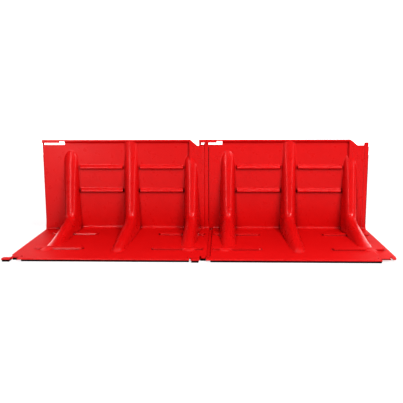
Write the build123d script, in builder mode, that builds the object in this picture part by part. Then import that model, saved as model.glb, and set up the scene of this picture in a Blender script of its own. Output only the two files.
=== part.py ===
from build123d import *
import os

os.makedirs("parts", exist_ok=True)

# A straight run of two interlocking L-shaped flood-barrier boxes, all sizes in mm.
# Each box is one hollow-ribbed moulding.  The right end of the left box lies on the
# water side of the left margin of the right box and hooks into it.
#
# Box drawing frame: x runs along the wall from its left edge, y is depth (0 at the
# face of the top rail, minus towards the water), z is height above the ground.

# ---- driving dimensions --------------------------------------------------------
PITCH = 900.0          # useful length of one box
T = 4.0                # moulding thickness
WALL = 13.0            # y of the front of the recessed wall
TOP = 528.0            # height of the box
FLOOR = 14.0           # top of the floor plate
LOW = 6.0              # top of the left margin, which the neighbour lies on
FRONT = -663.0         # front edge of the floor
TONGUE = -671.0        # front edge of the hooked tongue
MARGIN = 78.0          # width of the left margin
STEP_OUT = 838.0       # where the wall steps out to the right flange
RIGHT = 956.0          # right edge of the floor
ROLL = 10.0            # radius of the rolled left edge
LIP = 8.0              # underside of the turned-down front lip
RAIL_LOW = 520.0       # underside of the top rail
RIDGES = (165.0, 511.0, 857.0)
CROWN = 26.0           # half width of a ridge crown
PEG_HOLE = 8.0         # radius of the ground-peg hole
PIN_HOLE = 4.0         # radius of the small pin hole

# The run is centred on its own bounding box.
X_SHIFT = -(PITCH + RIGHT - 16.0) / 2
Y_SHIFT = -(TONGUE + WALL + ROLL) / 2

# Crown line of a ridge from the top down to the toe: base point (y, z) behind the
# plate, crown point (y, z), base half width, crown half width.
WALL_LEG = (
    ((15, 464), (9, 464), 34, 16),
    ((15, 450), (0, 450), 42, 22),
    ((15, 386), (-10, 386), 44, CROWN),
    ((15, 302), (-26, 302), 45, CROWN),
    ((15, 190), (-44, 190), 46, CROWN),
    ((15, 126), (-57, 126), 47, CROWN),
    ((15, 12), (-70, 104), 48, CROWN),
)
CENTRE_FOOT = (
    ((-50, 12), (-88, 92), 47, CROWN),
    ((-155, 12), (-155, 72), 45, CROWN),
    ((-260, 12), (-260, 57), 43, CROWN),
    ((-445, 12), (-445, 35), 38, 24),
    ((-512, 12), (-512, 27), 34, 20),
    ((-540, 12), (-540, 17), 24, 12),
)
SIDE_FOOT = (
    ((-50, 12), (-88, 90), 47, CROWN),
    ((-155, 12), (-155, 70), 45, CROWN),
    ((-260, 12), (-260, 50), 43, CROWN),
    ((-365, 12), (-365, 30), 38, 24),
    ((-425, 12), (-425, 17), 26, 16),
)


# ---- planes in the box drawing frame ---------------------------------------------
def side(x):
    """Plane across the run at x; sketches are (y, z), extruding goes to the right."""
    return Plane(origin=(x + X_SHIFT, Y_SHIFT, 0), x_dir=(0, 1, 0), z_dir=(1, 0, 0))


def plan(x0, z):
    """Level plane at height z; sketches are (x, y), extruding goes up."""
    return Plane(origin=(x0 + X_SHIFT, Y_SHIFT, z))


def front(x0, y):
    """Upright plane at depth y; sketches are (x, z), extruding goes to the water."""
    return Plane(origin=(x0 + X_SHIFT, y + Y_SHIFT, 0), x_dir=(1, 0, 0), z_dir=(0, -1, 0))


# ---- small shape helpers -----------------------------------------------------------
def slab(plane, points, amount, mode=Mode.ADD):
    """Extrudes a closed polygon."""
    with BuildSketch(plane) as outline:
        with BuildLine():
            Polyline(*points, close=True)
        make_face()
    extrude(outline.sketch, amount=amount, mode=mode)


def block(x0, xs, ys, zs, mode=Mode.ADD):
    """Rectangular block between pairs of drawing-frame coordinates."""
    (xa, xb), (ya, yb), (za, zb) = xs, ys, zs
    slab(plan(x0, za), [(xa, ya), (xb, ya), (xb, yb), (xa, yb)], zb - za, mode)


def ridge_section(x0, centre, base, crown, half_base, half_crown):
    """One trapezoid across a ridge, from its base point to its crown point."""
    rise = Vector(0, crown[0] - base[0], crown[1] - base[1])
    normal = Vector(1, 0, 0).cross(rise.normalized())
    origin = (x0 + centre + X_SHIFT, base[0] + Y_SHIFT, base[1])
    with BuildSketch(Plane(origin=origin, x_dir=(1, 0, 0), z_dir=normal)) as section:
        with BuildLine():
            Polyline((-half_base, 0), (half_base, 0), (half_crown, rise.length),
                     (-half_crown, rise.length), close=True)
        make_face()
    return section.sketch


def inner_station(base, crown, half_base, half_crown):
    """The same station moved in by the moulding thickness and open at the back."""
    rise = Vector(0, base[0] - crown[0], base[1] - crown[1])
    step = rise.normalized()
    tip = (crown[0] + T * step.Y, crown[1] + T * step.Z)
    foot = (min(base[0], 15) + 6, base[1]) if base[1] > 12 else (base[0], 7)
    if base == (15, 12):
        foot = (21, 7)
    return foot, tip, half_base - 4.2, half_crown - 3.2


def ridge_sections(x0, centre, stations, inside):
    """All sections of one ridge, outside or inside face."""
    found = []
    for station in stations:
        base, crown, half_base, half_crown = inner_station(*station) if inside else station
        found.append(ridge_section(x0, centre, base, crown, half_base, half_crown))
    return found


# ---- outside of the moulding --------------------------------------------------------
def wall_and_floor(x0):
    """Recessed wall, floor plate, heel and fold between the two end margins."""
    fold = [(17, TOP - 4), (WALL, TOP - 4), (WALL, 32), (11.6, 25), (7.7, 19.3),
            (2, 15.4), (-5, FLOOR), (FRONT, FLOOR), (FRONT, LIP), (FRONT + T, LIP),
            (FRONT + T, FLOOR - T), (WALL, FLOOR - T), (WALL, 0), (17, 0)]
    slab(side(x0 + MARGIN), fold, STEP_OUT - MARGIN)


def left_margin(x0):
    """Lowered margin that the neighbouring box lies on, with its rolled edge."""
    fold = [(17, TOP - 4), (WALL, TOP - 4), (WALL, LOW + 4), (WALL - 1.2, LOW + 1.2),
            (WALL - 4, LOW), (-600, LOW), (-600, LOW - T), (WALL, LOW - T), (WALL, 0), (17, 0)]
    slab(side(x0 + ROLL), fold, MARGIN - ROLL)
    block(x0, (0, ROLL), (-560, WALL + ROLL), (LOW - T, LOW))
    block(x0, (0, T), (-560, WALL + ROLL), (0, LOW))
    block(x0, (MARGIN - 3, MARGIN), (-604, WALL), (0, FLOOR))
    with BuildSketch(plan(x0, LOW - T)) as roll:
        with Locations((ROLL, WALL + ROLL)):
            Circle(ROLL)
            Circle(ROLL - T, mode=Mode.SUBTRACT)
        with Locations((0, WALL)):
            Rectangle(ROLL, ROLL, align=(Align.MIN, Align.MIN), mode=Mode.INTERSECT)
    extrude(roll.sketch, amount=TOP - LOW)


def hook_fingers(x0):
    """Front left corner: lowered hook, tongue, notch edge and peg-hole foot."""
    low = [(0, -560), (10, -588), (8, -600), (-8, -614), (-13, -628), (-14, -642), (26, -642),
           (28, -622), (57, -622), (57, -600), (MARGIN, -600), (MARGIN, -560)]
    slab(plan(x0, LOW - T), low, T)
    tongue = [(-13, -640), (-16, -650), (-16, -664), (-12, TONGUE), (22, TONGUE),
              (26, -667), (26, -638), (-13, -638)]
    slab(plan(x0, FLOOR - T), tongue, T)
    block(x0, (-13, 26), (-642, -638), (LOW - T, FLOOR))
    block(x0, (-13, 23), (TONGUE, TONGUE + T), (LIP, FLOOR))
    block(x0, (26, 59), (-622, -618), (LOW - T, 9.5))
    block(x0, (57, MARGIN), (FRONT, -602), (FLOOR - T, FLOOR))
    block(x0, (57, MARGIN), (FRONT, FRONT + T), (LIP, FLOOR))
    block(x0, (57, MARGIN), (-606, -602), (LOW - T, FLOOR))


def right_flange(x0):
    """Flange, end strip and ear that overlap the neighbour on the water side."""
    step = [(STEP_OUT - 2, WALL), (846, 0), (853, 0), (853, 4), (848.5, 4), (840, 17),
            (STEP_OUT - 2, 17)]
    slab(plan(x0, FLOOR - T), step, TOP - FLOOR + T)
    face = [(848, 10), (931, 10), (931, 498), (890, 498), (856, TOP), (848, TOP)]
    slab(front(x0, T), face, T)
    strip = [(927, 0), (930.5, 0), (934.5, 6.5), (953.5, 6.5), (953.5, 10), (932.5, 10),
             (929, 4), (927, 4)]
    slab(plan(x0, FLOOR - T), strip, 498 - FLOOR + T)
    ear = [(932, 490), (953.5, 490), (953.5, 511), (949.5, 515), (935, 515), (932, 511)]
    slab(front(x0, 10), ear, 3.5)


def right_floor(x0):
    """Floor behind the right flange, its set-back front and the drop nose."""
    floor = [(STEP_OUT, T), (930, T), (934, 10), (RIGHT, 10), (RIGHT, -600), (952, -626),
             (933, -626), (932, -604), (926, -604), (925, -636), (878, -636), (878, FRONT),
             (STEP_OUT, FRONT)]
    slab(plan(x0, FLOOR - T), floor, T)
    block(x0, (STEP_OUT, 878), (FRONT, FRONT + T), (LIP, FLOOR))
    block(x0, (878, 925), (-636, -632), (LIP, FLOOR))
    block(x0, (934, 951), (-630, -625), (7, FLOOR))
    block(x0, (STEP_OUT, 884), (-4, 4), (FLOOR - T, FLOOR + 6))


def top_rail(x0):
    """Stiffening rail with a sloped underside, and the taller hooking lip at the left."""
    rail = [(17, TOP), (0, TOP), (0, RAIL_LOW), (WALL + 1, 507), (WALL + 1, 513), (T, 522.5),
            (T, TOP - T), (17, TOP - T)]
    slab(side(x0 + 132), rail, 848 - 132)
    block(x0, (0, 133), (0, 17), (TOP - T, TOP))
    block(x0, (0, 133), (0, T), (RAIL_LOW, TOP))
    block(x0, (0, 100), (0, T), (511, RAIL_LOW + 1))
    block(x0, (0, T), (0, WALL + ROLL), (511, TOP))
    block(x0, (844, 853), (0, 17), (TOP - T, TOP))


RIB_ROWS = (
    (363, ((200, 470), (552, 822))),
    (229, ((200, 470), (552, 822))),
)


def wall_ribs(x0):
    """Hollow horizontal ribs between the ridges: gentle top, shorter sloped underside."""
    for z, spans in RIB_ROWS:
        for xa, xb in spans:
            rib = [(15, z + 28), (WALL, z + 27), (0.5, z + 14), (0.5, z + 10), (WALL, z - 1), (15, z - 2)]
            slab(side(x0 + xa), rib, xb - xa)


def rib_hollows(x0):
    """Back openings of the horizontal ribs."""
    for z, spans in RIB_ROWS:
        for xa, xb in spans:
            rib = [(19, z + 25), (WALL, z + 21.5), (4.5, z + 13), (4.5, z + 11), (WALL, z + 4.5), (19, z)]
            slab(side(x0 + xa + T), rib, xb - xa - 2 * T, Mode.SUBTRACT)


BARS = (
    (78, 330, -470), (680, 938, -470),
    (78, 340, -145), (683, 938, -145),
)


def floor_bars(x0, inside):
    """Raised stiffening channels on the floor, open underneath."""
    shrink = 4.5 if inside else 0
    low, rise = (7, FLOOR - 3) if inside else (12, 10)
    for xa, xb, y in BARS:
        with BuildSketch(plan(x0, low)) as bar:
            with Locations(((xa + xb) / 2, y)):
                RectangleRounded(xb - xa - 2 * shrink, 40 - 2 * shrink, 12)
        extrude(bar.sketch, amount=rise, taper=8 if inside else 20,
                mode=Mode.SUBTRACT if inside else Mode.ADD)


def fold_bumps(x0):
    """Small gusset domes in the fold between wall and floor."""
    for x in (282, 628):
        with BuildSketch(side(x0 + x - 18)) as gusset:
            with BuildLine():
                Polyline((15, 34), (12.5, 34), (6, 25), (-4, 18.5), (-8, 13), (-8, 12), (15, 12), close=True)
            make_face()
        extrude(gusset.sketch, amount=36)


# ---- one complete moulding ------------------------------------------------------------
def box_shell(x0, label):
    """Builds the moulding of one box whose wall starts at x0."""
    with BuildPart() as shell:
        wall_and_floor(x0)
        left_margin(x0)
        hook_fingers(x0)
        top_rail(x0)
        wall_ribs(x0)
        fold_bumps(x0)
        for centre in RIDGES:
            feet = CENTRE_FOOT if centre == RIDGES[1] else SIDE_FOOT
            loft(ridge_sections(x0, centre, WALL_LEG + feet, False), ruled=True)
        block(x0, (485, 537), (0, WALL + 1), (440, TOP - 1))
        floor_bars(x0, False)
        # The flange side of the right ridge may not stand behind the flange.
        block(x0, (STEP_OUT + 10, 960), (T, 40), (0, TOP + 5), Mode.SUBTRACT)
        right_flange(x0)
        right_floor(x0)
        # Hollows from the back and from below.
        rib_hollows(x0)
        floor_bars(x0, True)
        for centre in RIDGES:
            feet = CENTRE_FOOT if centre == RIDGES[1] else SIDE_FOOT
            loft(ridge_sections(x0, centre, WALL_LEG[1:] + feet[:-1], True), ruled=True,
                 mode=Mode.SUBTRACT)
        block(x0, (489, 533), (T, 20), (450, TOP - T), Mode.SUBTRACT)
        # Slot that takes the ear of the box to the left.
        block(x0, (12, 132), (WALL - 1, 18), (499, TOP - T), Mode.SUBTRACT)
        # Ground-peg hole and small pin hole through the floor.
        with BuildSketch(plan(x0, 0)) as holes:
            with Locations((67, -623)):
                Circle(PEG_HOLE)
            with Locations((868, -626)):
                Circle(PIN_HOLE)
        extrude(holes.sketch, amount=20, mode=Mode.SUBTRACT)
    shell.part.label = label
    return shell.part


# ---- seals -----------------------------------------------------------------------------
def front_seal(x0, label):
    """Foam sealing strip under the front lip, resting on the ground."""
    with BuildPart() as seal:
        strip = [(FRONT + 1.5, 0), (FRONT + 28, 0), (FRONT + 28, FLOOR - T),
                 (FRONT + T, FLOOR - T), (FRONT + T, LIP), (FRONT + 1.5, LIP)]
        slab(side(x0 + 78), strip, 876 - 78)
    seal.part.label = label
    return seal.part


def tongue_seal(x0, label):
    """Short foam piece under the hooked tongue."""
    with BuildPart() as seal:
        strip = [(TONGUE + 1.5, 0), (-642, 0), (-642, FLOOR - T), (TONGUE + T, FLOOR - T),
                 (TONGUE + T, LIP), (TONGUE + 1.5, LIP)]
        slab(side(x0 - 11), strip, 33)
    seal.part.label = label
    return seal.part


def notch_seal(x0, label):
    """Short foam piece in front of the notch edge, below the neighbour's nose."""
    with BuildPart() as seal:
        strip = [(-636, 0), (-606, 0), (-606, LOW - T), (-622, LOW - T), (-622, 6.5), (-636, 6.5)]
        slab(side(x0 + 29), strip, 26)
    seal.part.label = label
    return seal.part


def wall_seal(x0, label):
    """Foam strip on the back of the end strip, facing the neighbour's wall."""
    with BuildPart() as seal:
        block(x0, (938, 955.8), (10, 12.1), (22, 486))
    seal.part.label = label
    return seal.part


def floor_seal(x0, label):
    """Foam strip under the right edge of the floor, facing the neighbour's margin."""
    with BuildPart() as seal:
        block(x0, (940, 952), (-592, -8), (LOW + 0.5, FLOOR - T))
    seal.part.label = label
    return seal.part


# ---- the run of two boxes ------------------------------------------------------------
MAKERS = (
    ("shell", box_shell),
    ("front_seal", front_seal),
    ("tongue_seal", tongue_seal),
    ("notch_seal", notch_seal),
    ("wall_joint_seal", wall_seal),
    ("floor_joint_seal", floor_seal),
)

for box_name, box_x in (("left", 0.0), ("right", PITCH)):
    for piece, maker in MAKERS:
        name = box_name + "_" + piece
        export_step(maker(box_x, name), "parts/" + name + ".step")
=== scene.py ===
import math

import bmesh
import bpy
import numpy as np
from mathutils import Matrix, Vector


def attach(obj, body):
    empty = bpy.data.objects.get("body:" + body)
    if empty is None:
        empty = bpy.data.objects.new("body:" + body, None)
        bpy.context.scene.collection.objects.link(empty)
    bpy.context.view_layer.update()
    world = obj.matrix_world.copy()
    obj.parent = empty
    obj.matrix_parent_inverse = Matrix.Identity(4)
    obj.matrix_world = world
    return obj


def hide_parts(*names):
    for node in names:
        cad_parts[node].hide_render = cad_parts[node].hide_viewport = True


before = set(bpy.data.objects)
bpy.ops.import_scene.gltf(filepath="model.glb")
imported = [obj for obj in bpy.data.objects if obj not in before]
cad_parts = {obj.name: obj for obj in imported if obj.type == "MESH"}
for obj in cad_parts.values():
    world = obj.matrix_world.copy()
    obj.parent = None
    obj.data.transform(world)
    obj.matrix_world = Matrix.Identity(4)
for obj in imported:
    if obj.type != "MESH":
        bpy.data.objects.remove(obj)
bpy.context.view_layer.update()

# Everything is modelled in the drawing frame of one box, in millimetres: x along the
# run from the left end of the wall, y depth (0 at the rail face, minus towards the
# water), z height.  SHIFT moves that frame to the row frame.
PITCH = 900.0
SHIFT = np.array([-920.0, 324.0, 0.0])
THICKNESS = 4.0

# ---- the moulded relief ---------------------------------------------------------------
# The surface is a sheet of rows (down the wall, then out along the floor) and columns.
# s is the distance down the wall from TOP and on along the floor; the fold is FOLD.
TOP, WALL, FLOOR, LOW_MARGIN = 528.0, 13.0, 14.0, 6.0
FOLD = TOP - FLOOR
FRONT = FOLD + 673.0
RIGHT_END = 956.0
REAR_LIMIT = WALL + 10      # the CAD's rearmost face
BURIED = -40.0              # height that keeps a feature out of sight below the plate

# Left edge of the full-height floor: further left in front, beside the notch.
STEP, FRONT_STEP, STEP_HALF = 76.0, 57.0, 2.2
NOTCH_BACK = -602

# Hanging slot in the rail: wider beyond SLOT_WIDENS.
SLOT_LEFT, SLOT_WIDENS, SLOT_RIGHT, SLOT_BOTTOM = 12, 101, 132, 499
NARROW_LIP, WIDE_LIP = 510.2, 519.2
RAIL_DEPTH, RAIL_END = 13, 853

# Each ridge: middle x, z of its upper end, y of its toe, and whether it is a side ridge.
# The middle ridge runs up past the top edge.
RIDGES = ((165.0, 464.0, -478.0, True), (511.0, 9999.0, -545.0, False),
          (857.0, 446.0, -478.0, True))
CAP, TAPER, TOE_LENGTH, SHOULDER = 42.0, 92.0, 60.0, 26.0
DOME, DOME_SPREAD, DOME_DROP, DOME_SLOPE = 14, 120, 1.63, 0.233

# Ridge crown as (s on the plate, y, z): straight out from the wall, fanning through the
# bend, then straight up from the floor from UPRIGHT on.
CROWN = ((0, 0.5, 528), (58, 0, 470), (142, -10, 386), (226, -26, 302), (338, -44, 190),
         (400, -55.5, 130), (455, -62.5, 113), (514, -73, 99), (580, -97, 86.5),
         (682, -155, 73), (787, -260, 58), (882, -355, 46), (972, -445, 35),
         (1040, -513, 27), (1080, -553, 22))
UPRIGHT = 682
CROWN_STEP, CROWN_BLUR = 2.0, 20.0

# Wall ribs: z of each lower edge, x spans, then height, depth sunk below the plate, and
# the lengths of the short slope below, of the long slope above and of the ends.
RIB_BASES = (363.0, 229.0)
RIB_SPANS = ((211, 466), (556, 813))
RIB_HEIGHT, RIB_SINK, RIB_LOWER, RIB_UPPER, RIB_ENDS = 16.2, 3.2, 8.0, 24.0, 7.0

# Floor channels as (left end, right end, middle y), and the crease round each.
BARS = ((86, 331, -470), (680, 936, -470), (86, 340, -145), (683, 936, -145))
BAR_RADIUS, BAR_HEIGHT, BAR_DRAFT = 18.0, 8.5, 7.0
CREASE_DEPTH, CREASE_WIDTH = 2.6, 4.5

GUSSETS, GUSSET_HEIGHT = (282.0, 628.0), 3.0
SWELLINGS, SWELLING_Y, SWELLING_HEIGHT = (150, 866), 478, 9.5

# What the floor lacks in front of y = back, as (left, right, back): notch, set-back edge,
# gap beside the nose, room for the nose, and the tapered left corner.
CORNER_CUTS = ((-math.inf, 57, -600), (878, math.inf, -636), (925, 932, -604),
               (932, math.inf, -600), (-math.inf, 10, -560))

# Holes as (x, y) and radius.
PEG_HOLE, PIN_HOLE = ((67.0, -623.0), 8.0), ((868.0, -626.0), 4.0)


def smooth(a, b, x):
    """Smooth step from 0 at a to 1 at b."""
    t = np.clip((x - a) / (b - a), 0.0, 1.0)
    return t * t * (3 - 2 * t)


def smax(a, b, k):
    """Maximum with a rounded transition of size k."""
    h = np.clip(k - np.abs(a - b), 0.0, None) / k
    return np.maximum(a, b) + h * h * k * 0.25


def smin(a, b, k):
    """Minimum with a rounded transition of size k."""
    return -smax(-a, -b, k)


def curve(x, xs, ys):
    """Smooth monotone curve through (xs, ys), xs rising."""
    xs, ys = np.array(xs, float), np.array(ys, float)
    d = np.diff(ys) / np.diff(xs)
    m = np.empty_like(ys)
    m[0], m[-1] = d[0], d[-1]
    for i in range(1, len(xs) - 1):
        m[i] = 0 if d[i - 1] * d[i] <= 0 else 2 * d[i - 1] * d[i] / (d[i - 1] + d[i])
    i = np.clip(np.searchsorted(xs, x) - 1, 0, len(xs) - 2)
    h = xs[i + 1] - xs[i]
    t = np.clip((x - xs[i]) / h, 0, 1)
    return ((1 + 2 * t) * (1 - t) ** 2 * ys[i] + t * (1 - t) ** 2 * h * m[i]
            + t * t * (3 - 2 * t) * ys[i + 1] + t * t * (t - 1) * h * m[i + 1])


def plate_point(s):
    """Sharp L of the plate: (y, z) at row distance s."""
    y = np.where(s < FOLD, WALL, WALL - (s - FOLD))
    z = np.where(s < FOLD, TOP - s, FLOOR)
    return y, z


def softened(values, step, sigma):
    """Running average with a bell weight, carried straight on past both ends."""
    n = int(3 * sigma / step)
    weight = np.exp(-0.5 * (np.arange(-n, n + 1) * step / sigma) ** 2)
    before = 2 * values[0] - values[n:0:-1]
    after = 2 * values[-1] - values[-2:-n - 2:-1]
    padded = np.concatenate([before, values, after])
    return np.convolve(padded, weight / weight.sum(), mode="valid")


CROWN_S = np.arange(0.0, 1202.0, CROWN_STEP)
CROWN_Y = softened(curve(CROWN_S, *np.array(CROWN)[:, :2].T), CROWN_STEP, CROWN_BLUR)
CROWN_Z = softened(curve(CROWN_S, *np.array(CROWN)[:, [0, 2]].T), CROWN_STEP, CROWN_BLUR)


def crown_point(s):
    """Top of a full-height ridge: (y, z) at row distance s."""
    return np.interp(s, CROWN_S, CROWN_Y), np.interp(s, CROWN_S, CROWN_Z)


def plate_height(s, yw, zf, radius, dy, dz):
    """Distance from the sharp L along (dy, dz) to a plate with wall yw and floor zf."""
    y, z = plate_point(s)
    to_wall = (y - yw) / np.maximum(-dy, 1e-3)
    to_floor = (zf - z) / np.maximum(dz, 1e-3)
    both = smax(to_wall, to_floor, radius)
    both = np.where(dz < 2e-3, to_wall, both)
    return np.where(dy > -2e-3, to_floor, both)


def rounded_ridge(dist, half, top, rise):
    """Height of a drafted ridge with rounded shoulders at a distance from its middle."""
    angle = np.arctan2(rise, half - top)
    tangent = np.maximum(np.tan(angle / 2), 1e-3)
    radius = np.minimum(SHOULDER, 0.75 * rise / np.maximum(np.sin(angle) * np.tan(angle / 2), 1e-3))
    radius = np.minimum(radius, 0.9 * top / tangent)
    cut = radius * np.tan(angle / 2)
    flat = top - cut
    arc = rise - radius + np.sqrt(np.clip(radius ** 2 - (dist - flat) ** 2, 0, None))
    flank = rise * (half - dist) / (half - top)
    found = np.where(dist < flat, rise, arc)
    found = np.where(dist > top + cut * np.cos(angle), flank, found)
    # the crown is slightly domed
    fall = np.where(dist < DOME, dist ** 2 / DOME_SPREAD, DOME_DROP + (dist - DOME) * DOME_SLOPE)
    return found - fall


def ridge_height(x, s, rise, centre, crest, toe, at_side):
    """Height of one ridge above the plate at (x, s)."""
    y, z = plate_point(s)
    half = curve(s, (0, 60, 142, 226, 338, 402, 514, 682, 787, 972, 1060),
                 (43, 43, 44, 45, 46, 47, 48, 46, 43, 38, 32))
    top = curve(s, (0, 60, 142, 514, 972, 1060), (29, 29, 29, 28, 26, 22))
    if at_side:
        rise = rise * curve(s, (0, 640, 787, 900, 985), (1, 0.99, 0.88, 0.58, 0.14))
    # bullet-shaped upper end
    slope = np.clip((z - (crest - TAPER)) / TAPER, 0, 1)
    over = np.clip(z - (crest - CAP), 0, CAP - 0.1)
    round_end = np.sqrt(1 - (over / CAP) ** 2)
    rise = rise * (1 - 0.6 * slope ** 2.4) * round_end ** 0.55
    # rounded toe
    beyond = np.clip(toe + TOE_LENGTH - y, 0, TOE_LENGTH - 0.1) / TOE_LENGTH
    round_toe = np.sqrt(1 - beyond ** 2)
    rise = rise * (1 - beyond ** 2)
    scale = np.maximum(round_end * np.sqrt(round_toe), 0.02)
    found = rounded_ridge(np.abs(x - centre), half * scale, top * scale, rise)
    return np.where((z > crest) | (y < toe), BURIED, found)


def rib_height(x, z, base):
    """Horizontal wall rib: rounded, with a short slope below and a long one above."""
    lower = np.clip((z - base + 5) / RIB_LOWER, 0, 1)
    upper = np.clip((base + 27 - z) / RIB_UPPER, 0, 1)
    below = np.sin(lower * math.pi / 2) ** 1.2
    above = np.sin(upper * math.pi / 2) ** 1.4
    shape = np.where(z < base + 3, below, above)
    found = np.full(x.shape, BURIED)
    for a, b in RIB_SPANS:
        ends = np.clip(np.minimum(x - a, b - x) / RIB_ENDS, 0, 1)
        found = np.maximum(found, RIB_HEIGHT * shape * np.sin(ends * math.pi / 2) - RIB_SINK)
    return found


def bar_height(x, y, bar):
    """Raised stiffening channel on the floor with rounded ends and drafted sides."""
    a, b, yc = bar
    r = BAR_RADIUS
    along = np.clip(np.maximum(a + r - x, x - (b - r)), 0, None)
    d = np.sqrt(along ** 2 + (y - yc) ** 2)
    return smin((r + 1 - d) * BAR_DRAFT, BAR_HEIGHT + 0 * d, 3.0)


def plate_planes(x, y):
    """Wall plane and floor plane of each column: flange, end strip and lowered margin."""
    wall = WALL - 13 * smooth(838, 847, x) + 6.5 * smooth(928.5, 932.5, x)
    rolled = 2.4 * np.clip((x - 951.0) / 5.0, 0, 1) ** 2
    bead = 1.0 * np.exp(-((x - 925.5) / 2.2) ** 2)
    edge = np.where(y < NOTCH_BACK, FRONT_STEP, STEP)
    floor = LOW_MARGIN + 8 * smooth(edge - STEP_HALF, edge + STEP_HALF, x)
    return wall + rolled - bead, floor


def with_ridges(h, x, s, rise):
    """Height h with the three ridges blended in."""
    for centre, crest, toe, at_side in RIDGES:
        near = np.abs(x - centre) < 110
        ridge = np.where(near, ridge_height(x, s, rise, centre, crest, toe, at_side), BURIED)
        h = smax(h, ridge, 4.0)
    return h


def with_channels(h, x, y, on_floor):
    """Height h with the floor channels and the crease round each."""
    for bar in BARS:
        channel = bar_height(x, y, bar)
        h = np.where(on_floor, smax(h, channel, 1.6), h)
        crease = np.exp(-((channel + CREASE_WIDTH) / CREASE_WIDTH) ** 2) * (h < 3)
        h = np.where(on_floor, h - CREASE_DEPTH * crease, h)
    return h


def swelling_height(x, y):
    """Low swellings where the outer feet meet the front channels."""
    found = np.full(x.shape, BURIED)
    for middle in SWELLINGS:
        away = ((x - middle) / 34.0) ** 2
        found = np.maximum(found, SWELLING_HEIGHT * (1 - away - ((y + SWELLING_Y) / 40.0) ** 2))
    return found


def rail_height(x, z):
    """Top rail, with its taller lip over the slot."""
    lip = np.where(x < SLOT_WIDENS, NARROW_LIP, WIDE_LIP)
    sloped = RAIL_DEPTH * np.clip((z - 508.5) / 12.0, 0, 1)
    square = RAIL_DEPTH * smooth(lip, lip + 1.6, z)
    return np.where(x < SLOT_RIGHT, square, sloped) * (x < RAIL_END)


def relief(x, s):
    """Point (y, z) of the water-side surface for grids of x and s."""
    yb, zb = plate_point(s)
    yc, zc = crown_point(s)
    rise = np.hypot(yc - yb, zc - zb)
    dy = np.where(s > UPRIGHT, 0.0, (yc - yb) / rise)
    dz = np.where(s > UPRIGHT, 1.0, (zc - zb) / rise)
    yw, zf = plate_planes(x, yb)
    radius = 12.0 + 14.0 * smooth(70, 90, x)
    h = with_ridges(plate_height(s, yw, zf, radius, dy, dz), x, s, rise)
    for base in RIB_BASES:
        h = np.where(s < FOLD - 60, smax(h, rib_height(x, zb, base), 2.5), h)
    on_floor = s > FOLD + 60
    h = with_channels(h, x, yb, on_floor)
    # gussets in the fold
    for gx in GUSSETS:
        d = np.sqrt(((x - gx) / 20.0) ** 2 + ((s - FOLD) / 15.0) ** 2)
        h = h + GUSSET_HEIGHT * (1 - smooth(0.0, 1.0, d))
    h = np.where(on_floor, smax(h, swelling_height(x, yb), 3.0), h)
    # curved groove beside the front right corner
    gx = 885 + np.clip(-554 - yb, 0, 30) * 0.62
    groove = 1.6 * np.exp(-((x - gx) / 2.6) ** 2)
    h = h - groove * smooth(-500, -510, yb) * smooth(-586, -578, yb)
    h = np.where(s < 30, smax(h, rail_height(x, zb), 1.2), h)
    return yb + h * dy, zb + h * dz


# ---- rows and columns -------------------------------------------------------------------
# Stretches with closer columns and rows, as (from, to, step).
FINE_COLUMNS = (
    (10, 16, 2.0), (54, 60, 1.0), (71, 82, 1.1), (97, 104, 1.0), (130, 134, 2.0),
    (128, 150, 2.0), (180, 202, 2.0), (474, 496, 2.0), (526, 548, 2.0),
    (820, 836, 2.0), (836, 850, 1.1), (850, 860, 2.0), (870, 894, 2.0), (925, 936, 0.9),
    (936, 956, 2.5), (203, 218, 2.0), (460, 472, 2.0), (552, 564, 2.0), (808, 818, 2.0),
    (326, 344, 2.0), (676, 690, 2.0))
FINE_ROWS = (
    (3, 10, 1.0), (14, 20, 0.8), (26, 32, 1.5), (136, 168, 1.6), (270, 302, 1.6),
    (400, 480, 3.0), (480, 540, 1.8), (540, 600, 3.0), (632, 686, 1.8), (958, 1010, 1.8),
    (1010, 1075, 3.0), (1110, 1122, 1.2), (1122, 1187, 3.0))

# Rolled left edge: radius and columns, where it turns into the floor's lip, lip depth.
ROLL, ROLL_STEPS, LIP_TURN, LIP_DEPTH = 10, 9, 0.62, 5.5
EDGE = 3        # rounding of the top cover and of the front lip


def spaced(low, high, step, fine):
    """Positions from low to high about step apart, closer together near each fine place."""
    found, x = [], low
    while x < high - 1e-6:
        found.append(x)
        here = step
        for a, b, small in fine:
            if a <= x < b:
                here = min(here, small)
            elif x < a:
                here = min(here, max(a - x, small))
        x += here
    found.append(high)
    return np.array(found)


def snapped(values, stops):
    """The same positions with the nearest one moved exactly onto each stop."""
    values = values.copy()
    for stop in stops:
        values[np.argmin(np.abs(values - stop))] = stop
    return values


def columns():
    """x of every column of the plate, with one on each edge."""
    xs = spaced(float(ROLL), RIGHT_END, 4.0, FINE_COLUMNS)
    return snapped(xs, (12, 57, 78, 101, 132, 853, 878, 890, 925, 932, 956))


def rows():
    """s of every row, with one on each edge."""
    ss = spaced(3.0, FRONT, 4.0, FINE_ROWS)
    floor = FOLD + WALL
    return snapped(ss, (7.5, 8.5, 16.5, 17.5, 29.0, floor + 600, floor + 604, floor + 636))


def top_of(x):
    """Height of the upper edge at x: rail, sloped cut, flange, then the ear."""
    return np.interp(x, (0, 856, 890, 931, 932, 934, 953, 956),
                     (528, 528, 498, 498, 512, 515, 515, 512))


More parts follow.
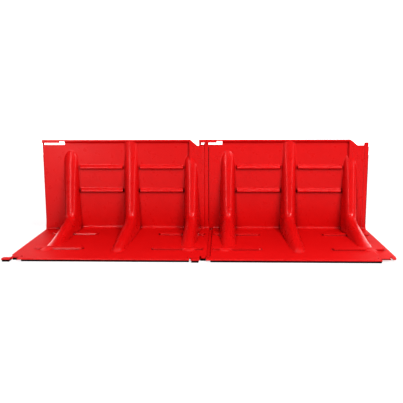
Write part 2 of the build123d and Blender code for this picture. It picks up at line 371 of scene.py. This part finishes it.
def roll_left_edge(x, y, z, wall):
    """Bends the first columns backwards on the wall and down into a lip on the floor."""
    turn = np.linspace(0, math.pi / 2, ROLL_STEPS + 1)[1:]
    for i, angle in enumerate(turn[::-1]):
        rx, ry = ROLL - ROLL * math.sin(angle), ROLL - ROLL * math.cos(angle)
        t = 1 - i / ROLL_STEPS
        fx = ROLL * max(0.0, 1 - t / LIP_TURN)
        fz = -LIP_DEPTH * max(0.0, (t - LIP_TURN) / (1 - LIP_TURN))
        x[:, i] = wall[:, i] * rx + (1 - wall[:, i]) * fx
        y[:, i] += wall[:, i] * ry
        z[:, i] += (1 - wall[:, i]) * fz


def cells_there(x, s):
    """Which cells of the grid exist, by their middle: all but the slot and the corners."""
    xm = (x[:-1, :-1] + x[1:, 1:]) / 2
    sm = (s[:-1, :-1] + s[1:, 1:]) / 2
    zm = TOP - sm
    ym = WALL - (sm - FOLD)
    lip = np.where(xm < SLOT_WIDENS, NARROW_LIP + 0.2, WIDE_LIP + 0.2)
    keep = ~((xm > SLOT_LEFT) & (xm < SLOT_RIGHT) & (zm > SLOT_BOTTOM) & (zm < lip + 1.2))
    floor = sm > FOLD + 30
    for left, right, back in CORNER_CUTS:
        keep &= ~(floor & (xm > left) & (xm < right) & (ym < back))
    return keep


def shell_grid():
    """Front face of the moulding as grids of x, y and z, and which cells are there."""
    gx = np.concatenate([np.full(ROLL_STEPS, float(ROLL)), columns()])
    x, s = np.meshgrid(gx, rows())
    # the upper rows follow the cut of the upper edge
    z = TOP - s
    z = np.where(z > 400, 400 + (z - 400) * (top_of(x) - 400) / 128.0, z)
    s_cut = np.where(s < 128, TOP - z, s)
    y, z = relief(x, s_cut)
    wall = 1 - smooth(470, 512, s_cut)
    # the end strip is a little narrower than the floor below it
    x = x - 2.5 * smooth(934, 956, x) * wall
    roll_left_edge(x, y, z, wall)
    return x, y, z, cells_there(x, s)


def with_ends(x, y, z, keep):
    """Adds the top cover above the first row and the turned-down lip after the last."""
    up = np.linspace(0, math.pi / 2, 5)[1:]
    cover = [(x[0], y[0] + EDGE - EDGE * math.cos(a), z[0] + EDGE * math.sin(a)) for a in up]
    for depth in (8.0, 12.5, 17.0):
        cover.append((x[0], np.maximum(y[0] + EDGE, depth), z[0] + EDGE))
    first = np.array(cover)[::-1]
    down = [(x[-1], y[-1] - EDGE * math.sin(a), z[-1] - EDGE + EDGE * math.cos(a)) for a in up]
    down.append((x[-1], y[-1] - EDGE, z[-1] - 2 * EDGE))
    last = np.array(down)
    grid = np.concatenate([first, np.stack([x, y, z], 1), last])
    there = (x[0][:-1] + x[0][1:]) / 2 < RAIL_END
    mask = np.concatenate([np.repeat(there[None], len(first), 0), keep,
                           np.repeat(keep[-1:], len(last), 0)])
    return grid, mask


def round_hole(points, mask, centre, radius):
    """Opens a round hole: drops cells inside and pulls the ring of points onto the circle."""
    px, py = points[:, 0], points[:, 1]
    d = np.hypot(px - centre[0], py - centre[1])
    flat = (points[:, 2] > 9) & (points[:, 2] < 16)
    cx = (px[:-1, :-1] + px[1:, 1:]) / 2
    cy = (py[:-1, :-1] + py[1:, 1:]) / 2
    inside = (np.hypot(cx - centre[0], cy - centre[1]) < radius) & flat[:-1, :-1]
    edge = np.zeros(d.shape, bool)
    for i, j in np.argwhere(inside):
        edge[i:i + 2, j:j + 2] = True
    interior = np.zeros(d.shape, bool)
    interior[1:-1, 1:-1] = inside[1:, 1:] & inside[:-1, 1:] & inside[1:, :-1] & inside[:-1, :-1]
    scale = np.where(edge & ~interior, radius / np.maximum(d, 1e-3), 1.0)
    points[:, 0] = centre[0] + (px - centre[0]) * scale
    points[:, 1] = centre[1] + (py - centre[1]) * scale
    return mask & ~inside


def free_edges(faces, total):
    """Edges that belong to one face only."""
    edges = np.concatenate([faces[:, [i, (i + 1) % 4]] for i in range(4)])
    key = np.sort(edges, 1)
    key = key[:, 0] * total + key[:, 1]
    order = np.argsort(key, kind="stable")
    same = key[order][1:] == key[order][:-1]
    single = np.ones(len(key), bool)
    single[order[1:][same]] = False
    single[order[:-1][same]] = False
    return edges[single]


def thick_sheet(points, mask):
    """Closed mesh from a grid of front points: back face behind, rims round every edge."""
    p = np.moveaxis(points, 1, 2)
    n = np.cross(np.gradient(p, axis=0), np.gradient(p, axis=1))
    n /= np.maximum(np.linalg.norm(n, axis=2, keepdims=True), 1e-9)
    back = p - n * THICKNESS
    r, c = mask.shape
    total = (r + 1) * (c + 1)
    index = np.arange(total).reshape(r + 1, c + 1)
    corners = (index[:-1, :-1], index[1:, :-1], index[1:, 1:], index[:-1, 1:])
    faces = np.stack([corner[mask] for corner in corners], 1)
    rim = free_edges(faces, total)
    rims = np.stack([rim[:, 1], rim[:, 0], rim[:, 0] + total, rim[:, 1] + total], 1)
    verts = np.concatenate([p.reshape(-1, 3), back.reshape(-1, 3)])
    verts[:, 1] = np.minimum(verts[:, 1], REAR_LIMIT)
    quads = np.concatenate([faces, faces[:, ::-1] + total, rims])
    used, where = np.unique(quads, return_inverse=True)
    return verts[used], where.reshape(-1, 4)


# ---- small solids -------------------------------------------------------------------------
def extruded(outline, low, high, along_x, bevel, segments):
    """Bevelled straight solid over an outline in (y, z), or in (x, y) when not along x."""
    ring = [tuple(p) for p in outline]
    area = sum(a[0] * b[1] - b[0] * a[1] for a, b in zip(ring, ring[1:] + ring[:1]))
    if area <= 0:
        ring.reverse()
    n = len(ring)
    points = [(level, *p) if along_x else (*p, level) for level in (low, high) for p in ring]
    faces = [tuple(range(n))[::-1], tuple(range(n, 2 * n))]
    faces += [(i, (i + 1) % n, n + (i + 1) % n, n + i) for i in range(n)]
    mesh = bpy.data.meshes.new("extruded")
    mesh.from_pydata(points, [], faces)
    return bevelled(mesh, bevel, segments)


def prism(outline, low, high, bevel=1.0, segments=2):
    """Upright solid over a plan outline."""
    return extruded(outline, low, high, False, bevel, segments)


def profile_bar(outline, x0, x1, bevel):
    """Bar along x with a (y, z) outline."""
    return extruded(outline, x0, x1, True, bevel, 2)


def box(xs, ys, zs, bevel, segments=2):
    """Bevelled block between two x, two y and two z values."""
    outline = [(xs[0], ys[0]), (xs[1], ys[0]), (xs[1], ys[1]), (xs[0], ys[1])]
    return prism(outline, zs[0], zs[1], bevel, segments)


def bevelled(mesh, bevel, segments):
    """Points and faces of a mesh with its edges bevelled; the mesh itself is removed."""
    bm = bmesh.new()
    bm.from_mesh(mesh)
    if bevel > 0:
        bmesh.ops.bevel(bm, geom=list(bm.edges), offset=bevel, segments=segments, profile=0.5,
                        affect="EDGES", clamp_overlap=True)
    bmesh.ops.triangulate(bm, faces=[f for f in bm.faces if len(f.verts) > 4])
    points = np.array([v.co[:] for v in bm.verts])
    faces = [tuple(v.index for v in f.verts) for f in bm.faces]
    bm.free()
    bpy.data.meshes.remove(mesh)
    return points, faces


def merged(parts):
    """One (points, faces) from several."""
    points, faces, start = [], [], 0
    for p, f in parts:
        points.append(np.asarray(p))
        faces += [tuple(int(i) + start for i in face) for face in f]
        start += len(p)
    return np.concatenate(points), faces


def make_object(name, geometry, material):
    """Smooth-shaded object in metres, with edges sharper than 38 degrees kept."""
    points, faces = geometry
    mesh = bpy.data.meshes.new(name)
    mesh.from_pydata(((points + SHIFT) / 1000.0).tolist(), [], faces)
    mesh.shade_smooth()
    mesh.set_sharp_from_angle(angle=math.radians(38.0))
    mesh.materials.append(material)
    mesh.update()
    piece = bpy.data.objects.new(name, mesh)
    bpy.context.scene.collection.objects.link(piece)
    return piece


# ---- parts of the shell that are not on the sheet ---------------------------------------------
def rounded(points, radius, only):
    """Outline with the corners listed in only rounded."""
    found = []
    n = len(points)
    for i, p in enumerate(points):
        if i not in only:
            found.append(p)
            continue
        p = np.array(p, float)
        a = np.array(points[i - 1], float) - p
        b = np.array(points[(i + 1) % n], float) - p
        cut = min(radius, 0.45 * np.linalg.norm(a), 0.45 * np.linalg.norm(b))
        start, end = p + a / np.linalg.norm(a) * cut, p + b / np.linalg.norm(b) * cut
        for t in np.linspace(0, 1, 5):
            found.append(tuple((1 - t) ** 2 * start + 2 * t * (1 - t) * p + t * t * end))
    return found


# Plan outlines of the front corner pieces.
HOOK = [(0.5, -558), (10, -588), (8, -600), (-8, -614), (-13, -628), (-14, -642), (26, -642),
        (28, -622), (57.5, -622), (57.5, -596), (14, -596), (14, -558)]
TONGUE = [(-13, -638.2), (-16, -650), (-16, -671), (26, -671), (26, -638.2)]
NOSE = [(932, -598), (956, -598), (952, -626), (948, -630.5), (938, -630.5), (933.5, -626)]

# Heel under the wall as (from x, to x, top z), lower where a ridge is open behind.
HEEL = ((10, 90, 20), (90, 240, 8), (240, 436, 26), (436, 586, 8), (586, 782, 26),
        (782, 838, 8))


def finger_parts():
    """Front corner pieces, the side of the floor's step and the heel."""
    parts = [
        prism(rounded(HOOK, 4, {1, 2, 3, 4}), 2.0, 5.3, 0.8),
        prism(rounded(TONGUE, 6, {1, 2, 3}), 9.0, 14.0, 1.8, 3),
        box((-13.5, 25.5), (-642, -638), (2, 13.6), 1.2),           # riser behind the tongue
        box((-14, 24), (-670.6, -666.5), (8.2, 12), 0.8),           # tongue's front lip
        box((26, 58.5), (-622, -617.5), (2, 9.5), 1.4, 3),          # notch edge
        box((56.8, 60), (-661, -604), (8.2, 13), 0.8),              # lip beside the notch
        box((877.5, 925.5), (-636, -632), (8, 13.9), 1.4, 3),       # set-back lip
        prism(rounded(NOSE, 2, {1, 2, 3, 4, 5}), 9.6, 14.0, 1.6, 3),
        box((935.5, 950.5), (-630, -625), (7, 13), 1.5, 3),         # nose's front lip
        box((75.2, 77.8), (-603, 14), (0, 9), 0.6),                 # side of the floor's step
    ]
    return parts + [box((a, b), (13.5, 17), (0, top), 0) for a, b, top in HEEL]


def shell_geometry():
    """The whole moulding of one box as (points, faces)."""
    grid, mask = with_ends(*shell_grid())
    for centre, radius in (PEG_HOLE, PIN_HOLE):
        mask = round_hole(grid, mask, centre, radius)
    return merged([thick_sheet(grid, mask)] + finger_parts())


# ---- materials -----------------------------------------------------------------------------------
def grey(value):
    """Neutral colour, also used to carry a plain number through a ramp."""
    return (value, value, value, 1)


def new_material(name):
    """Material with a lone principled shader; returns it, its tree and the shader."""
    material = bpy.data.materials.new(name)
    material.use_nodes = True
    tree = material.node_tree
    tree.nodes.clear()
    out = tree.nodes.new("ShaderNodeOutputMaterial")
    shader = tree.nodes.new("ShaderNodeBsdfPrincipled")
    tree.links.new(shader.outputs["BSDF"], out.inputs["Surface"])
    return material, tree, shader


def object_place(tree):
    """Object coordinates."""
    return tree.nodes.new("ShaderNodeTexCoord").outputs["Object"]


def noise(tree, where, scale, detail, rough):
    """Noise value at a place."""
    node = tree.nodes.new("ShaderNodeTexNoise")
    node.inputs["Scale"].default_value = scale
    node.inputs["Detail"].default_value = detail
    node.inputs["Roughness"].default_value = rough
    tree.links.new(where, node.inputs["Vector"])
    return node.outputs["Fac"]


def ramp(tree, value, low, high):
    """Colour going from low to high as value rises; each is (position, colour)."""
    node = tree.nodes.new("ShaderNodeValToRGB")
    for element, (position, color) in zip(node.color_ramp.elements, (low, high)):
        element.position = position
        element.color = color
    tree.links.new(value, node.inputs["Fac"])
    return node.outputs["Color"]


def math_node(tree, kind, a, b):
    """Result of a and b, where b is a socket or a number."""
    node = tree.nodes.new("ShaderNodeMath")
    node.operation = kind
    tree.links.new(a, node.inputs[0])
    if isinstance(b, float):
        node.inputs[1].default_value = b
    else:
        tree.links.new(b, node.inputs[1])
    return node.outputs[0]


def blend(tree, factor, first, second):
    """Colour first going to the constant second as factor goes from 0 to 1."""
    mix = tree.nodes.new("ShaderNodeMix")
    mix.data_type = "RGBA"
    tree.links.new(factor, mix.inputs[0])
    tree.links.new(first, mix.inputs[6])
    mix.inputs[7].default_value = second
    return mix.outputs[2]


def add_bump(tree, shader, height, strength, distance):
    """Fine surface relief from a height value."""
    bump = tree.nodes.new("ShaderNodeBump")
    bump.inputs["Strength"].default_value = strength
    bump.inputs["Distance"].default_value = distance
    tree.links.new(height, bump.inputs["Height"])
    tree.links.new(bump.outputs["Normal"], shader.inputs["Normal"])


def painted_shade_factor(tree):
    """Painted shade: 0 on open faces, rising in corners and creases where shade falls."""
    shelter = tree.nodes.new("ShaderNodeAmbientOcclusion")
    shelter.samples = 24
    shelter.only_local = True
    shelter.inputs["Distance"].default_value = 0.02
    return ramp(tree, shelter.outputs["AO"], (0.35, grey(0.92)), (0.88, grey(0)))


def red_abs():
    """Self-coloured red plastic: painted shade darkening corners and creases, paler rubbed edges,
    matter upward faces.
    """
    material, tree, shader = new_material("red_shell")
    where = object_place(tree)
    tone = ramp(tree, noise(tree, where, 3.0, 3.0, 0.5),
                (0.3, (0.52, 0.008, 0.009, 1)), (0.7, (0.57, 0.010, 0.011, 1)))
    geometry = tree.nodes.new("ShaderNodeNewGeometry")
    worn = ramp(tree, geometry.outputs["Pointiness"], (0.56, grey(0)), (0.66, grey(1)))
    rubbed = blend(tree, math_node(tree, "MULTIPLY", worn, 0.16), tone, (0.64, 0.03, 0.03, 1))
    # painted shade: corners and creases blend towards a deep dark red
    color = blend(tree, painted_shade_factor(tree), rubbed, (0.10, 0.001, 0.001, 1))
    tree.links.new(color, shader.inputs["Base Color"])
    rough = ramp(tree, noise(tree, where, 26.0, 5.0, 0.6), (0.3, grey(0.27)), (0.75, grey(0.29)))
    split = tree.nodes.new("ShaderNodeSeparateXYZ")
    tree.links.new(geometry.outputs["Normal"], split.inputs["Vector"])
    upward = split.outputs["Z"]
    grained = ramp(tree, upward, (0.97, grey(0)), (0.995, grey(0.26)))
    tree.links.new(math_node(tree, "ADD", rough, grained), shader.inputs["Roughness"])
    add_bump(tree, shader, noise(tree, where, 420.0, 2.0, 0.5), 0.05, 0.0001)
    sheen = ramp(tree, upward, (0.9, grey(0.3)), (0.99, grey(0.05)))
    tree.links.new(sheen, shader.inputs["Specular IOR Level"])
    shader.inputs["IOR"].default_value = 1.5
    return material


def black_foam():
    """Closed-cell foam: nearly black, matt, finely pitted."""
    material, tree, shader = new_material("black_foam")
    where = object_place(tree)
    cells = tree.nodes.new("ShaderNodeTexVoronoi")
    cells.inputs["Scale"].default_value = 700.0
    tree.links.new(where, cells.inputs["Vector"])
    pits = cells.outputs["Distance"]
    tone = ramp(tree, noise(tree, where, 60.0, 4.0, 0.6),
                (0.3, grey(0.003)), (0.75, (0.008, 0.008, 0.009, 1)))
    tree.links.new(tone, shader.inputs["Base Color"])
    rough = ramp(tree, pits, (0.0, grey(0.95)), (0.8, grey(0.78)))
    tree.links.new(rough, shader.inputs["Roughness"])
    add_bump(tree, shader, pits, 0.5, 0.0006)
    shader.inputs["Specular IOR Level"].default_value = 0.12
    return material


RED = red_abs()
FOAM = black_foam()

# ---- seals ---------------------------------------------------------------------------------------
FRONT_SEAL = [(-661.5, 0), (-635, 0), (-635, 9.8), (-658.6, 9.8), (-658.6, 8), (-661.5, 8)]
TONGUE_SEAL = [(-669.5, 0), (-642.2, 0), (-642.2, 8.8), (-666, 8.8), (-666, 8), (-669.5, 8)]
NOTCH_SEAL = [(-636, 0), (-606, 0), (-606, 1.9), (-622.2, 1.9), (-622.2, 6.5), (-636, 6.5)]
SEALS = {
    "front_seal": profile_bar(FRONT_SEAL, 78, 876, 0.7),
    "tongue_seal": profile_bar(TONGUE_SEAL, -11, 22, 0.7),
    "notch_seal": profile_bar(NOTCH_SEAL, 29, 55, 0.6),
    "wall_joint_seal": box((938, 955.8), (10.6, 12.1), (22, 486), 0.4),
    "floor_joint_seal": box((940, 952), (-592, -8), (6.5, 9.9), 0.8),
}

# ---- the two boxes -------------------------------------------------------------------------------
shell = make_object("left_shell_look", shell_geometry(), RED)
twin = bpy.data.objects.new("right_shell_look", shell.data)
bpy.context.scene.collection.objects.link(twin)
twin.location = (PITCH / 1000.0, 0, 0)
for side, piece in (("left", shell), ("right", twin)):
    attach(piece, side + "_box")
    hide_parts(side + "_shell")
for name, geometry in SEALS.items():
    for side, offset in (("left", 0.0), ("right", PITCH)):
        moved = (geometry[0] + np.array([offset, 0, 0]), geometry[1])
        piece = make_object(side + "_" + name + "_look", moved, FOAM)
        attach(piece, side + "_box")
        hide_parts(side + "_" + name)

# ---- floor, light and camera ---------------------------------------------------------------------
scene = bpy.context.scene

# Lights as (name, place, target, size, watts), in metres.
LIGHTS = (
    ("key", (3.3, -3.2, 4.4), (0.2, 0.2, 0.2), (1.3, 1.3), 262.0),
    ("front", (0.2, -4.6, 3.9), (0.1, 0.2, 0.2), (2.2, 1.0), 36.0),
    ("right_strip", (3.6, -2.6, 1.3), (0.0, 0.3, 0.3), (0.25, 2.0), 34.0),
    ("left_strip", (-1.7, -3.2, 1.3), (0.0, 0.3, 0.3), (0.5, 2.0), 44.0),
    ("second", (-2.0, -3.6, 3.9), (-0.2, 0.2, 0.2), (1.2, 1.2), 34.0),
    ("top", (0.3, -1.1, 3.2), (0.1, -0.2, 0.0), (3.4, 0.3), 32.0),
    ("rear", (0.0, 2.6, 3.2), (0.0, 6.0, 0.6), (7.0, 1.5), 150.0),
)
CAMERA_PLACE = (0.11614, -3.03151, 0.76034)
CAMERA_YAW, CAMERA_DOWN, CAMERA_ROLL = 0.0366, 0.1728, -0.0043


def plain(name, level, glow):
    """Matt white stage material with a faint cloudiness."""
    material, tree, shader = new_material(name)
    cloud = noise(tree, object_place(tree), 0.7, 3.0, 0.5)
    tone = ramp(tree, cloud, (0.3, grey(level * 0.985)), (0.7, grey(level)))
    tree.links.new(tone, shader.inputs["Base Color"])
    shader.inputs["Roughness"].default_value = 0.9
    shader.inputs["Specular IOR Level"].default_value = 0.1
    shader.inputs["Emission Color"].default_value = grey(1)
    shader.inputs["Emission Strength"].default_value = glow
    return material


def stage_plane(name, level, glow, **place):
    """One large plane of the stage."""
    bpy.ops.mesh.primitive_plane_add(size=40.0, **place)
    plane = bpy.context.object
    plane.name = name
    plane.data.materials.append(plain(name, level, glow))
    return plane


def stage_floor():
    """White floor and a glowing white backdrop far behind."""
    floor = stage_plane("studio_floor", 0.25, 0.74, location=(0, 0, 0))
    back = stage_plane("studio_backdrop", 0.93, 1.0, location=(0, 5.0, 0),
                       rotation=(math.pi / 2, 0, 0))


def area_light(name, place, target, size, power):
    """Rectangular light aimed at a target."""
    data = bpy.data.lights.new(name, "AREA")
    data.shape = "RECTANGLE"
    data.size, data.size_y = size
    data.energy = power
    lamp = bpy.data.objects.new(name, data)
    scene.collection.objects.link(lamp)
    lamp.location = place
    aim = Vector(target) - Vector(place)
    lamp.rotation_euler = aim.to_track_quat("-Z", "Y").to_euler()


def add_world():
    """Faint even light from all round."""
    world = bpy.data.worlds.new("studio")
    world.use_nodes = True
    background = world.node_tree.nodes["Background"]
    background.inputs["Color"].default_value = grey(1.0)
    background.inputs["Strength"].default_value = 0.3
    scene.world = world


def add_camera():
    """Camera right of the run's middle and above it, looking 10 degrees down."""
    yaw, pitch, roll = CAMERA_YAW, CAMERA_DOWN, CAMERA_ROLL
    forward = Vector((-math.sin(yaw) * math.cos(pitch), math.cos(yaw) * math.cos(pitch),
                      -math.sin(pitch)))
    right = Vector((math.cos(yaw), math.sin(yaw), 0))
    up = right.cross(forward)
    side = math.cos(roll) * right + math.sin(roll) * up
    above = -math.sin(roll) * right + math.cos(roll) * up
    data = bpy.data.cameras.new("camera")
    data.sensor_width = 36.0
    data.sensor_fit = "HORIZONTAL"
    data.lens = 52.94
    data.clip_end = 100.0
    camera = bpy.data.objects.new("camera", data)
    scene.collection.objects.link(camera)
    axes = [(a, b, -c, d) for a, b, c, d in zip(side, above, forward, CAMERA_PLACE)]
    camera.matrix_world = Matrix(axes + [(0, 0, 0, 1)])
    scene.camera = camera


stage_floor()
for light in LIGHTS:
    area_light(*light)
add_world()
add_camera()
scene.view_settings.view_transform = "Standard"
scene.view_settings.look = "High Contrast"
scene.view_settings.exposure = -0.64
scene.render.engine = "CYCLES"
